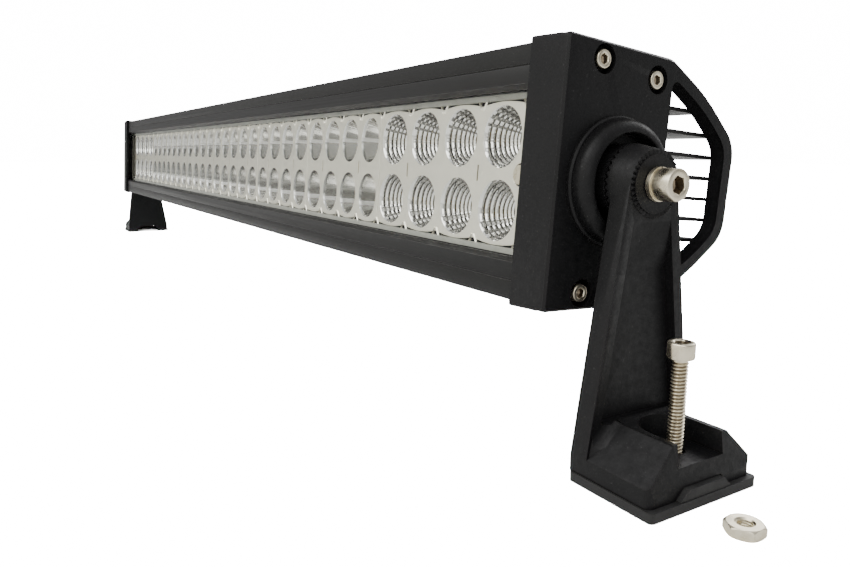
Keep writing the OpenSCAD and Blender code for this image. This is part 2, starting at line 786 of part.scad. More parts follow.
housing();
lens();
lens_seal();
flood_reflector("right");  // flood_reflector_right
flood_reflector("left");  // flood_reflector_left
for (i = [1:spot_modules]) {
    spot_reflector(i);
    led_board(spot_x(i), spot_len);
}
reflector_screws();
led_board(flood_x, flood_len);  // flood_board_right
led_board(-flood_x - flood_len, flood_len);  // flood_board_left
led_emitters();
board_screws();
driver_board();
driver_parts();
gland_body();
gland_seal();
gland_nut();
vent_plug();
for (side = ["right", "left"]) {
    end_cap(side);
    cap_gasket(side);
    cap_screws(side);
    pivot_bolt(side);
    pivot_washer(side);
    bracket(side);
    foot_pad(side);
    mount_bolt(side);
    mount_nut(side);
}
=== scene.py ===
"""Looks of the LED light bar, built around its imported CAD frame. Metres, +X along the bar."""

import json
import math

import bmesh
import bpy
from mathutils import Matrix, Vector
from mathutils.geometry import tessellate_polygon


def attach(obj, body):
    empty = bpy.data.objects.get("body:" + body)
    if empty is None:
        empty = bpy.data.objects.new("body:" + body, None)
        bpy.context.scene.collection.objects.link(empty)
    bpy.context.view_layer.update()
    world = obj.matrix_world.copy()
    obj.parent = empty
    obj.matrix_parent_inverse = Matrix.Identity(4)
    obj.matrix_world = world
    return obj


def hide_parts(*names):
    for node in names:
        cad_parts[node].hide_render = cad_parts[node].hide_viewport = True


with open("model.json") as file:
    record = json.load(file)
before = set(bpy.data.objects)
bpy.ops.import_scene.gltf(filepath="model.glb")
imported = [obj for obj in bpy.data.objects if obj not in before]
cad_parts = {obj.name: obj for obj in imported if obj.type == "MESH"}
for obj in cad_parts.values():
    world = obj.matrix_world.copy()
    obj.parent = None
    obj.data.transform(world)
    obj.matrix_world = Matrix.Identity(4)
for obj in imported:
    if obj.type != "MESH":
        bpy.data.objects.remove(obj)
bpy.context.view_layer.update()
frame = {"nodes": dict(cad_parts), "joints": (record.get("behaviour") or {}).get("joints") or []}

NODES = frame["nodes"]
JOINTS = {j["name"]: j for j in frame["joints"]}
SIDES = (("right", 1), ("left", -1))

# Places that the other pieces are set out from. The lamp is drawn in millimetres as
# (x along the bar, v back from its front face, w up from its middle line).
MM = 0.001
END_X, PIVOT_Y, PIVOT_Z = JOINTS["tilt"]["pos_m"]
PIVOT = Vector((0, PIVOT_Y, PIVOT_Z))
HALF = END_X / MM
PIVOT_BACK = 24.1       # from the front face back to the pivot
MID_RISE = 0.4          # from the pivot up to the middle line
TILT = math.radians(4.5)
TO_PIVOT = Matrix.Translation(PIVOT) @ Matrix.Rotation(-TILT, 4, "X") @ Matrix.Scale(MM, 4)
TO_LAMP = TO_PIVOT @ Matrix.Translation((0, -PIVOT_BACK, MID_RISE))
MIRROR_X = Matrix.Diagonal((-1, 1, 1, 1))

# Sizes of the light part of the lamp
END_INSET = 26.5        # from the lamp's end to its first column
FLOOD_PITCH, FLOOD_COLUMNS = 25.2, 4
SPOT_PITCH, SPOT_COLUMNS, SPOT_MODULES = 21.1, 4, 6
ROW_W = 12.6            # from the middle line to each row
FLOOD_X = HALF - END_INSET - FLOOD_COLUMNS * FLOOD_PITCH
FLOOD_PLATE_END = HALF - 8.6
FLOOD_SCREW_X = HALF - 27.6
PLATE_V = 8.9
CUP_DEPTH = 13.3


# ---------- camera ----------

YAW, PITCH, ROLL = 31.52, 10.525, 0.23      # degrees
LENS, SENSOR = 29.99, 36
CAMERA_FROM_PIVOT = Vector((158.08, -165.79, 8.92)) * MM


def make_camera():
    yaw, pitch, roll = (math.radians(a) for a in (YAW, PITCH, ROLL))
    ahead = Vector((-math.cos(yaw) * math.cos(pitch), math.sin(yaw) * math.cos(pitch), -math.sin(pitch)))
    level = Vector((math.sin(yaw), math.cos(yaw), 0))
    upright = level.cross(ahead)
    right = level * math.cos(roll) + upright * math.sin(roll)
    up = upright * math.cos(roll) - level * math.sin(roll)
    data = bpy.data.cameras.new("camera")
    data.lens = LENS
    data.sensor_width = SENSOR
    data.clip_start = 0.01
    data.clip_end = 20
    camera = bpy.data.objects.new("camera", data)
    bpy.context.scene.collection.objects.link(camera)
    turn = Matrix((right, up, -ahead)).transposed().to_4x4()
    camera.matrix_world = Matrix.Translation(Vector((END_X, PIVOT_Y, PIVOT_Z)) + CAMERA_FROM_PIVOT) @ turn
    bpy.context.scene.camera = camera


# ---------- materials ----------


def new_material(name, colour, rough, metal=0.0, specular=0.5):
    m = bpy.data.materials.new(name)
    m.use_nodes = True
    shader = m.node_tree.nodes["Principled BSDF"]
    shader.inputs["Base Color"].default_value = (*colour, 1)
    shader.inputs["Roughness"].default_value = rough
    shader.inputs["Metallic"].default_value = metal
    shader.inputs["Specular IOR Level"].default_value = specular
    return m, m.node_tree, shader


def node(tree, kind, **values):
    n = tree.nodes.new(kind)
    for key, value in values.items():
        if key in n.inputs:
            n.inputs[key].default_value = value
        else:
            setattr(n, key, value)
    return n


def object_coords(tree, stretch=(1, 1, 1)):
    coords = node(tree, "ShaderNodeTexCoord")
    mapping = node(tree, "ShaderNodeMapping")
    mapping.inputs["Scale"].default_value = stretch
    tree.links.new(coords.outputs["Object"], mapping.inputs["Vector"])
    return mapping.outputs["Vector"]


def noise(tree, coords, scale, detail=3.0, rough=0.55):
    n = node(tree, "ShaderNodeTexNoise", Scale=scale, Detail=detail, Roughness=rough)
    tree.links.new(coords, n.inputs["Vector"])
    return n.outputs["Fac"]


def ramp(tree, value, stops):
    n = node(tree, "ShaderNodeValToRGB")
    items = n.color_ramp.elements
    while len(items) < len(stops):
        items.new(0.5)
    for item, (place, colour) in zip(items, stops):
        item.position = place
        item.color = (*colour, 1)
    tree.links.new(value, n.inputs["Fac"])
    return n.outputs["Color"]


def spread(tree, value, low, high, from_low=0.3, from_high=0.7):
    n = node(tree, "ShaderNodeMapRange")
    n.inputs["From Min"].default_value = from_low
    n.inputs["From Max"].default_value = from_high
    n.inputs["To Min"].default_value = low
    n.inputs["To Max"].default_value = high
    tree.links.new(value, n.inputs["Value"])
    return n.outputs["Result"]


def bump(tree, shader, heights):
    """Adds bumps of (height source, strength, depth in metres), one on another."""
    last = None
    for source, strength, depth in heights:
        n = node(tree, "ShaderNodeBump", Strength=strength, Distance=depth)
        tree.links.new(source, n.inputs["Height"])
        if last is not None:
            tree.links.new(last, n.inputs["Normal"])
        last = n.outputs["Normal"]
    tree.links.new(last, shader.inputs["Normal"])


def add_colours(tree, base, extra, amount):
    """Adds an amount of one colour to another. The Mix node has its colours at 6 and 7, and at output 2."""
    n = node(tree, "ShaderNodeMix", data_type="RGBA", blend_type="ADD")
    n.inputs["Factor"].default_value = amount
    tree.links.new(base, n.inputs[6])
    tree.links.new(extra, n.inputs[7])
    return n.outputs[2]


def grey(v):
    return (v, v, v)


def scaled(colour, amount):
    return tuple(c * amount for c in colour)


def powder_coat(name="black_powder_coat", highlight_lift=1.0, specular=0.2):
    """The second argument brightens the colour of the soft rounded edges, as a painted highlight."""
    m, tree, shader = new_material(name, grey(0.006), 0.46, specular=specular)
    at = object_coords(tree)
    grain = noise(tree, at, 2600, 2.0)
    soft = noise(tree, at, 420, 3.0)
    wide = noise(tree, at, 28, 4.0)
    dark = scaled((0.0044, 0.0043, 0.0048), highlight_lift)
    pale = scaled((0.0075, 0.0072, 0.0078), highlight_lift)
    tint = ramp(tree, wide, [(0.3, dark), (0.7, pale)])
    # fine pale specks in the colour: painted glints of the coat's sparkle
    painted_glints = ramp(tree, noise(tree, at, 1300, 2.0, 0.5), [(0.68, grey(0.0)), (0.76, grey(0.4))])
    tree.links.new(add_colours(tree, tint, painted_glints, 0.05), shader.inputs["Base Color"])
    tree.links.new(spread(tree, soft, 0.36, 0.56), shader.inputs["Roughness"])
    bump(tree, shader, [(grain, 0.35, 0.0001), (soft, 0.35, 0.0003)])
    return m


def anodised(name="black_anodised", highlight_lift=1.0, specular=0.26):
    m, tree, shader = new_material(name, grey(0.008), 0.38, specular=specular)
    along = object_coords(tree, (1.2, 420, 420))
    at = object_coords(tree)
    lines = noise(tree, along, 6, 4.0)
    fine = noise(tree, at, 1800, 2.0)
    wide = noise(tree, at, 16, 3.0)
    # the edge copy scales this colour up: a painted highlight line
    tint = ramp(tree, wide, [(0.3, grey(0.0072 * highlight_lift)), (0.7, grey(0.0104 * highlight_lift))])
    tree.links.new(tint, shader.inputs["Base Color"])
    tree.links.new(spread(tree, lines, 0.33, 0.47), shader.inputs["Roughness"])
    bump(tree, shader, [(lines, 0.08, 0.0002), (fine, 0.12, 0.00005)])
    return m


def nickel():
    rough = 0.27
    m, tree, shader = new_material("nickel_plate", (0.78, 0.71, 0.56), rough, metal=1.0)
    at = object_coords(tree)
    wide = noise(tree, at, 260, 4.0)
    fine = noise(tree, at, 3200, 2.0)
    tint = ramp(tree, wide, [(0.3, (0.66, 0.59, 0.44)), (0.7, (0.86, 0.8, 0.64))])
    tree.links.new(tint, shader.inputs["Base Color"])
    tree.links.new(spread(tree, wide, rough * 0.7, rough * 1.7), shader.inputs["Roughness"])
    bump(tree, shader, [(fine, 0.12, 0.00004)])
    return m


def metallised(name, colour, rough, ripple):
    m, tree, shader = new_material(name, colour, rough, metal=1.0)
    at = object_coords(tree)
    wide = noise(tree, at, 90, 3.0)
    fine = noise(tree, at, 500, 3.0)
    tint = ramp(tree, wide, [(0.3, scaled(colour, 0.965)), (0.7, colour)])
    tree.links.new(tint, shader.inputs["Base Color"])
    tree.links.new(spread(tree, fine, rough * 0.8, rough * 1.25), shader.inputs["Roughness"])
    bump(tree, shader, [(wide, ripple, 0.0002)])
    return m


def rubber(name, low, high, rough, grain=1500):
    m, tree, shader = new_material(name, low, rough, specular=0.35)
    at = object_coords(tree)
    wide = noise(tree, at, 120, 4.0)
    tree.links.new(ramp(tree, wide, [(0.3, low), (0.7, high)]), shader.inputs["Base Color"])
    tree.links.new(spread(tree, wide, rough - 0.08, rough + 0.1), shader.inputs["Roughness"])
    bump(tree, shader, [(noise(tree, at, grain, 3.0), 0.25, 0.00012)])
    return m


def moulded(name, low, high, rough):
    m, tree, shader = new_material(name, low, rough)
    at = object_coords(tree)
    wide = noise(tree, at, 150, 3.0)
    fine = noise(tree, at, 700, 3.0)
    tree.links.new(ramp(tree, wide, [(0.35, low), (0.65, high)]), shader.inputs["Base Color"])
    tree.links.new(spread(tree, fine, rough * 0.85, rough * 1.15), shader.inputs["Roughness"])
    bump(tree, shader, [(noise(tree, at, 1800, 2.0), 0.15, 0.00006)])
    return m


def clear_lens():
    """Clear plate that lets light straight through and mirrors a little, more at a glancing view."""
    m = bpy.data.materials.new("clear_lens")
    m.use_nodes = True
    tree = m.node_tree
    tree.nodes.remove(tree.nodes["Principled BSDF"])
    clear = node(tree, "ShaderNodeBsdfTransparent")
    clear.inputs["Color"].default_value = (0.985, 0.99, 0.985, 1)
    gloss = node(tree, "ShaderNodeBsdfGlossy")
    gloss.inputs["Roughness"].default_value = 0.03
    edge = node(tree, "ShaderNodeFresnel")
    edge.inputs["IOR"].default_value = 1.25
    side = node(tree, "ShaderNodeNewGeometry")
    front = node(tree, "ShaderNodeMath", operation="SUBTRACT")
    front.inputs[0].default_value = 1.0
    tree.links.new(side.outputs["Backfacing"], front.inputs[1])
    amount = node(tree, "ShaderNodeMath", operation="MULTIPLY")
    tree.links.new(edge.outputs["Fac"], amount.inputs[0])
    tree.links.new(front.outputs["Value"], amount.inputs[1])
    mix = node(tree, "ShaderNodeMixShader")
    tree.links.new(amount.outputs["Value"], mix.inputs["Fac"])
    tree.links.new(clear.outputs["BSDF"], mix.inputs[1])
    tree.links.new(gloss.outputs["BSDF"], mix.inputs[2])
    tree.links.new(mix.outputs["Shader"], tree.nodes["Material Output"].inputs["Surface"])
    return m


POWDER = powder_coat()
# Lighter powder coat for the rounded edges: a painted edge highlight
POWDER_EDGE_HIGHLIGHT = powder_coat("powder_coat_painted_edge_highlight", 4.5, 0.6)
ANODISED = anodised()
# Lighter anodising for the rounded edges: a painted highlight line on the rails
ANODISED_EDGE_HIGHLIGHT = anodised("anodised_painted_edge_highlight", 7.0, 0.6)
NICKEL = nickel()
# Darker metal for sockets and thread roots: painted shade in hollows and grooves
SOCKET_PAINTED_SHADE = metallised("socket_and_root_painted_shade", (0.3, 0.25, 0.18), 0.38, 0.1)
PLATE = metallised("reflector_plate", (0.98, 0.945, 0.82), 0.36, 0.1)
CUP = metallised("reflector_cup", (0.88, 0.87, 0.84), 0.05, 0.05)
# Cup metals laid on zones of the cups to stand in for reflections: painted shade, painted shade in the facet
# gaps and a painted highlight band
PAINTED_SHADE = metallised("reflector_painted_shade", (0.42, 0.415, 0.39), 0.2, 0.05)
PAINTED_GAP_SHADE = metallised("reflector_painted_gap_shade", (0.22, 0.215, 0.2), 0.25, 0.05)
PAINTED_HIGHLIGHT_BAND = metallised("reflector_painted_highlight_band", (0.97, 0.96, 0.93), 0.4, 0.05)
SILICONE = rubber("grey_silicone", (0.36, 0.365, 0.32), (0.45, 0.45, 0.4), 0.4, 900)
BLACK_RUBBER = rubber("black_rubber", grey(0.012), grey(0.02), 0.6)
NYLON = moulded("black_nylon", grey(0.012), grey(0.018), 0.42)
BOARD = moulded("white_board", (0.72, 0.72, 0.7), (0.78, 0.78, 0.76), 0.35)
GREEN = moulded("green_board", (0.01, 0.09, 0.035), (0.014, 0.12, 0.05), 0.35)
CASES = moulded("component_cases", grey(0.02), grey(0.035), 0.4)
LED = moulded("led_phosphor", (0.8, 0.55, 0.08), (0.85, 0.62, 0.12), 0.25)
LENS_CLEAR = clear_lens()

NODE_MATERIALS = {
    "housing": ANODISED,
    "lens_seal": SILICONE,
    "reflector_screws": NICKEL,
    "board_screws": NICKEL,
    "led_emitters": LED,
    "driver_board": GREEN,
    "driver_parts": CASES,
    "gland_seal": BLACK_RUBBER,
    "gland_body": NYLON,
    "gland_nut": NYLON,
    "vent_plug": NYLON,
    "lens": LENS_CLEAR,
}
PREFIX_MATERIALS = (
    ("end_cap", POWDER),
    ("bracket", POWDER),
    ("cap_gasket", BLACK_RUBBER),
    ("foot_pad", BLACK_RUBBER),
    ("flood_board", BOARD),
    ("spot_board", BOARD),
    ("flood_reflector", PLATE),
    ("spot_reflector", PLATE),
)


def dress_nodes():
    """Gives each CAD node its material. Bolts, nuts and washers are nickel."""
    for name, obj in NODES.items():
        m = NODE_MATERIALS.get(name)
        if m is None:
            m = next((one for start, one in PREFIX_MATERIALS if name.startswith(start)), NICKEL)
        obj.data.materials.clear()
        obj.data.materials.append(m)


# ---------- mesh helpers ----------


def link(obj):
    bpy.context.scene.collection.objects.link(obj)
    return obj


def piece(name, bm, materials, body, replaced=(), smooth_angle=None):
    """Turns a bmesh, in metres where it stands at rest, into a piece that rides on a body."""
    bmesh.ops.recalc_face_normals(bm, faces=bm.faces)
    mesh = bpy.data.meshes.new(name)
    bm.to_mesh(mesh)
    bm.free()
    for m in materials:
        mesh.materials.append(m)
    obj = link(bpy.data.objects.new(name, mesh))
    if smooth_angle is not None:
        mesh.shade_smooth()
        mesh.set_sharp_from_angle(angle=math.radians(smooth_angle))
    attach(obj, body)
    if replaced:
        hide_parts(*replaced)
    return obj


WELD = 0.5e-6                       # metres
FLAT_WITHIN = math.radians(0.6)
ROUND_ABOVE = math.radians(28)      # sharper edges than this are rounded


def soften(name, body, material, edge_highlight_material, width, segments=3):
    """A copy of a CAD node with its sharp edges rounded, to a width in millimetres."""
    bm = bmesh.new()
    bm.from_mesh(NODES[name].data)
    bmesh.ops.remove_doubles(bm, verts=bm.verts, dist=WELD)
    bmesh.ops.dissolve_limit(bm, angle_limit=FLAT_WITHIN, verts=bm.verts, edges=bm.edges)
    obj = piece(name + "_cast", bm, [material, edge_highlight_material], body, (name,), 40)
    edge = obj.modifiers.new("rounding", "BEVEL")
    edge.width = width * MM
    edge.segments = segments
    edge.limit_method = "ANGLE"
    edge.angle_limit = ROUND_ABOVE
    edge.use_clamp_overlap = True
    # faces that the rounding makes take the second, lighter material: a painted edge highlight
    edge.material = 1
    return obj


# ---------- reflectors ----------

FLOOD_RIM, SPOT_RIM, HOLE = 10.4, 9.85, 3.3     # radii
SPOT_SQUEEZE = 8.45 / SPOT_RIM                  # spot cups are narrower along the bar
LIP = 0.2
WALL_START = 0.35       # depth where the wall begins, behind the rolled lip
WALL_POWER = 1.7
FACET_RINGS = 10        # from rim to hole
RING_STRIPS = 4         # strips across each ring of facets
FACETS_AROUND = 36
FACET_STEPS = 3         # steps round each facet
RING_SWELL, FACET_SWELL = 0.34, 0.16
SPOT_STEPS, SPOT_AROUND = 18, 64


def cup_radius(depth, rim):
    """Radius of a parabolic cup at a depth behind the plate."""
    return HOLE + (rim - HOLE) * math.sqrt(max(0.0, 1 - depth / CUP_DEPTH))


def wall_depth(t):
    """Depth at a share t of the wall. The radius shrinks almost evenly with t."""
    return WALL_START + (CUP_DEPTH - WALL_START) * (1 - (1 - t) ** WALL_POWER)


def flood_cup():
    """Rings of (radius, depth) points: a faceted bowl, its facets swelling inward."""
    around = FACETS_AROUND * FACET_STEPS
    rings = [[(FLOOD_RIM + LIP, 0.0)] * around, [(FLOOD_RIM + 0.12, 0.1)] * around]
    total = FACET_RINGS * RING_STRIPS
    for i in range(total + 1):
        depth = wall_depth(i / total)
        swell = math.sin(math.pi * (i % RING_STRIPS) / RING_STRIPS)
        ring = []
        for k in range(around):
            side = math.sin(math.pi * (k % FACET_STEPS) / FACET_STEPS)
            r = cup_radius(depth, FLOOD_RIM) - RING_SWELL * swell - FACET_SWELL * side * (0.3 + 0.7 * swell)
            ring.append((max(r, HOLE * 0.9), depth))
        rings.append(ring)
    return rings


def spot_cup():
    """Rings of (radius, depth) points: a smooth bowl."""
    rings = [[(SPOT_RIM + LIP, 0.0)] * SPOT_AROUND, [(SPOT_RIM + 0.15, 0.1)] * SPOT_AROUND]
    for i in range(SPOT_STEPS + 1):
        depth = wall_depth(i / SPOT_STEPS)
        rings.append([(cup_radius(depth, SPOT_RIM), depth)] * SPOT_AROUND)
    return rings


def scallop(x, x0, pitch, columns, top, sag):
    """Height of the plate's edge at x: one shallow arch over each column."""
    u = (x - x0) / pitch
    u = min(max(u, 0.0), columns - 1e-6)
    dx = (u - math.floor(u) - 0.5) * 2
    return top - sag * dx * dx


# Places in a reflector's list of finishes and painted light, after the plate's own: cup metal, painted
# highlight band, painted shade, painted shade in the gaps
FINISHES_AND_PAINTED_LIGHT = [PLATE, CUP, PAINTED_HIGHLIGHT_BAND, PAINTED_SHADE, PAINTED_GAP_SHADE]
ON_CUP, ON_HIGHLIGHT_BAND, ON_SHADE, ON_GAP_SHADE = 1, 2, 3, 4
OUTER_THIRD = 0.42      # sine of the angle where it begins


def facet_painted_shade(n, k, cw):
    """Bright ridges with painted shade in the gaps of a flood cup, and facets mixed with painted shade in its
    outer third.
    """
    if n < 2:
        return ON_CUP
    outer = math.sin(2 * math.pi * k / (FACETS_AROUND * FACET_STEPS)) * math.copysign(1, cw)
    ring, strip = divmod(n - 2, RING_STRIPS)
    if outer > OUTER_THIRD:
        return ON_GAP_SHADE if (k // FACET_STEPS * 7 + ring * 5 + strip) % 5 < 3 else ON_CUP
    return ON_GAP_SHADE if strip in (2, 3) else ON_CUP


# Heights of the painted highlight band in the upper and the lower row's cups, from the middle line
HIGHLIGHT_BANDS = ((12.2, 14.0), (-17.4, -15.4))


def paint_highlight_and_shade(bm):
    """Cuts the smooth cups along their painted highlight band, then paints the band as a highlight and the
    zone inside it as shade.
    """
    for low, high in HIGHLIGHT_BANDS:
        for w in (low, high):
            near = [f for f in bm.faces if f.material_index == ON_CUP and f.calc_center_median().z * w > 0]
            edges = {e for f in near for e in f.edges}
            verts = {v for f in near for v in f.verts}
            geom = [*near, *edges, *verts]
            bmesh.ops.bisect_plane(bm, geom=geom, dist=1e-5, plane_co=(0, 0, w), plane_no=(0, 0, 1))
    for f in bm.faces:
        if f.material_index != ON_CUP:
            continue
        z = f.calc_center_median().z
        low, high = HIGHLIGHT_BANDS[0 if z > 0 else 1]
        inner = z < low if z > 0 else z > high
        if low < z < high:
            f.material_index = ON_HIGHLIGHT_BAND
        elif inner:
            f.material_index = ON_SHADE


PLATE_GAP = 0.25                # between one plate and the next
PLATE_HALF, PLATE_SAG = 24.4, 1.35
ARCH_STEPS = 16                 # steps along the plate's edge for each column
SLIT_X, SLIT_W = 0.4, 2.9       # half width and half height
SCREW_HOLE_R, SCREW_HOLE_STEPS = 3.9, 40
ROLLED = ((0.12, 0.12), (0.16, 1.2))    # outward and backward steps of a rolled edge


def circle_point(cx, cw, r, k, count, squeeze=1.0):
    a = 2 * math.pi * k / count
    return cx + squeeze * r * math.cos(a), cw + r * math.sin(a)


def roll_edge(bm, loop, row, ends=None):
    """Turns the plate's edge back along a loop: its outline, between two ends, or one of its holes."""
    size = len(loop)
    centre = Vector((sum(p[0] for p in loop) / size, sum(p[1] for p in loop) / size))
    for step, depth in ROLLED:
        behind = []
        for x, w in loop:
            if ends:
                left, right = ends
                sx = -1 if abs(x - left) < 1e-6 else (1 if abs(x - right) < 1e-6 else 0)
                behind.append(bm.verts.new((x + sx * step, PLATE_V + depth, w + math.copysign(step, w))))
            else:
                d = (Vector((x, w)) - centre).normalized() * step
                behind.append(bm.verts.new((x - d.x, PLATE_V + depth, w - d.y)))
        for k in range(size):
            bm.faces.new((row[k], row[(k + 1) % size], behind[(k + 1) % size], behind[k]))
        row = behind


def add_bowl(bm, cx, cw, rings, mouth, squeeze, painted_light_zones):
    """Skins one cup from its mouth in the plate to its hole."""
    count = len(mouth)
    last = mouth
    for n, ring in enumerate(rings[1:]):
        row = []
        for k, (r, depth) in enumerate(ring):
            x, w = circle_point(cx, cw, r, k, count, squeeze)
            row.append(bm.verts.new((x, PLATE_V + depth, w)))
        for k in range(count):
            f = bm.faces.new((last[k], last[(k + 1) % count], row[(k + 1) % count], row[k]))
            # flood cups take painted shade in their facet gaps
            f.material_index = ON_CUP if painted_light_zones else facet_painted_shade(n, k, cw)
        last = row


def reflector_module(name, x0, columns, pitch, rings, squeeze, x_end, replaced, screw=None, painted_light_zones=False):
    """One plate with two rows of cups. squeeze narrows a cup along X; x_end is where its plate stops."""
    bm = bmesh.new()
    left, right = x0 + PLATE_GAP, x_end - PLATE_GAP
    steps = ARCH_STEPS * columns
    xs = [left + (right - left) * i / steps for i in range(steps + 1)]
    high = [(x, scallop(x, x0, pitch, columns, PLATE_HALF, PLATE_SAG)) for x in xs]
    outline = high + [(x, -w) for x, w in reversed(high)]
    loops = [outline]
    count = len(rings[0])
    cups = [(x0 + (c + 0.5) * pitch, s * ROW_W) for c in range(columns) for s in (-1, 1)]
    for cx, cw in cups:
        loops.append([circle_point(cx, cw, r, k, count, squeeze) for k, (r, _) in enumerate(rings[0])])
    for x in (x0 + pitch, x0 + (columns - 1) * pitch):
        corners = ((-1, -1), (1, -1), (1, 1), (-1, 1))
        loops.append([(x + across * SLIT_X, up * SLIT_W) for across, up in corners])
    if screw is not None:
        hole = range(SCREW_HOLE_STEPS)
        loops.append([circle_point(screw, 0, SCREW_HOLE_R, k, SCREW_HOLE_STEPS) for k in hole])
    front = [bm.verts.new((x, PLATE_V, w)) for loop in loops for x, w in loop]
    for tri in tessellate_polygon([[Vector((x, w, 0)) for x, w in loop] for loop in loops]):
        try:
            bm.faces.new([front[i] for i in tri])
        except ValueError:
            pass
    rows = []
    for loop in loops:
        start = sum(len(row) for row in rows)
        rows.append(front[start:start + len(loop)])
    roll_edge(bm, outline, rows[0], (left, right))
    holes = 1 + len(cups)
    for loop, row in zip(loops[holes:], rows[holes:]):
        roll_edge(bm, loop, row)
    for (cx, cw), mouth in zip(cups, rows[1:holes]):
        add_bowl(bm, cx, cw, rings, mouth, squeeze, painted_light_zones)
    # the smooth cups get a painted highlight band with painted shade inside it
    if painted_light_zones:
        paint_highlight_and_shade(bm)
    prongs(bm, x0, columns, pitch)
    bmesh.ops.transform(bm, matrix=TO_LAMP, verts=bm.verts)
    return piece(name, bm, FINISHES_AND_PAINTED_LIGHT, "lamp", replaced, 35)


def stick(bm, a, b, wide, deep):
    """A tapered prong in the plate's plane from a to b, given as (x, w)."""
    a, b = Vector(a), Vector(b)
    along = (b - a).normalized()
    side = Vector((-along.y, along.x))
    rows = []
    for place, half in ((a, wide), (a.lerp(b, 0.7), wide * 0.8), (b, wide * 0.35)):
        ring = [(place + side * half, 0.1), (place, -0.35), (place - side * half, 0.1), (place, deep)]
        rows.append([bm.verts.new((p.x, PLATE_V + v, p.y)) for p, v in ring])
    for r, q in zip(rows, rows[1:]):
        for k in range(4):
            bm.faces.new((r[k], r[(k + 1) % 4], q[(k + 1) % 4], q[k]))
    bm.faces.new(rows[-1])
    bm.faces.new(rows[0][::-1])


PRONG_FOOT, PRONG_TIP = (0.5, 21.9), (2.5, 25.1)    # from the line between two columns, and from the middle
PRONG_WIDE, PRONG_DEEP = 0.62, 1.4


def prongs(bm, x0, columns, pitch):
    """Pairs of small spring prongs in the dips between the columns."""
    for c in range(columns + 1):
        x = x0 + c * pitch
        for s in (-1, 1):
            for way, wanted in ((-1, c > 0), (1, c < columns)):
                if wanted:
                    foot, tip = ((x + way * dx, s * w) for dx, w in (PRONG_FOOT, PRONG_TIP))
                    stick(bm, foot, tip, PRONG_WIDE, PRONG_DEEP)
    for x in (x0 + pitch, x0 + (columns - 1) * pitch):
        # a small raised wedge beside each slit
        corners = [(x + 1.1, 1.7), (x + 1.1, -1.7), (x + 4.0, 0)]
        base = [bm.verts.new((cx, PLATE_V - 0.01, cw)) for cx, cw in corners]
        top = bm.verts.new((x + 2.0, PLATE_V - 0.3, 0))
        for k in range(3):
            bm.faces.new((base[k], base[(k + 1) % 3], top))


def make_reflectors():
    flood, spot = flood_cup(), spot_cup()
    for side, sign in SIDES:
        obj = reflector_module(
            "flood_reflector_%s_faceted" % side, FLOOD_X, FLOOD_COLUMNS, FLOOD_PITCH, flood, 1.0,
            FLOOD_PLATE_END, ("flood_reflector_" + side,), FLOOD_SCREW_X,
        )
        if sign < 0:
            obj.data.transform(MIRROR_X)
            obj.data.flip_normals()
    length = SPOT_COLUMNS * SPOT_PITCH
    for i in range(SPOT_MODULES):
        x0 = -SPOT_MODULES * length / 2 + i * length
        reflector_module(
            "spot_reflector_%d_polished" % (i + 1), x0, SPOT_COLUMNS, SPOT_PITCH, spot, SPOT_SQUEEZE,
            x0 + length, ("spot_reflector_%d" % (i + 1),), painted_light_zones=True,
        )


# ---------- bolts and nuts ----------


def thread(turns):
    """0 on a thread's crest and 1 in its root."""
    return min(max(abs(2 * (turns - math.floor(turns)) - 1) * 1.3 - 0.15, 0.0), 1.0)


def hexagon(angle, across):
    """Radius of a hexagon at an angle, with a corner at 0."""
    step = math.pi / 3
    return across / 2 / math.cos(angle % step - step / 2)


def revolve(bm, place, rows, count, close=(True, True)):
    """Skins rows of (radius at an angle, height) round the local Z axis."""
    rings = []
    for radius, z in rows:
        ring = []
        for k in range(count):
            a = 2 * math.pi * k / count
            r = radius(a) if callable(radius) else radius
            ring.append(bm.verts.new(place @ Vector((r * math.cos(a), r * math.sin(a), z))))
        rings.append(ring)
    for a, b in zip(rings, rings[1:]):
        for k in range(count):
            bm.faces.new((a[k], a[(k + 1) % count], b[(k + 1) % count], b[k]))
    if close[0]:
        bm.faces.new(rings[0][::-1])
    if close[1]:
        bm.faces.new(rings[-1])
    return rings


def threaded_rows(radius, depth, pitch, low, high, per_turn=10):
    """Rows of a thread from low to high, fading out at both ends."""
    rows = []
    count = int((high - low) / pitch * per_turn)
    for i in range(count + 1):
        z = low + (high - low) * i / count
        fade = min(1.0, (z - low) / pitch, (high - z) / pitch)
        lead = max(0.0, 1 - (z - low) / pitch) * depth

        def at(a, z=z, fade=fade, lead=lead):
            return radius - lead - depth * fade * thread(z / pitch - a / (2 * math.pi))

        rows.append((at, z))
    return rows


SCREW_AROUND, NUT_AROUND = 60, 72


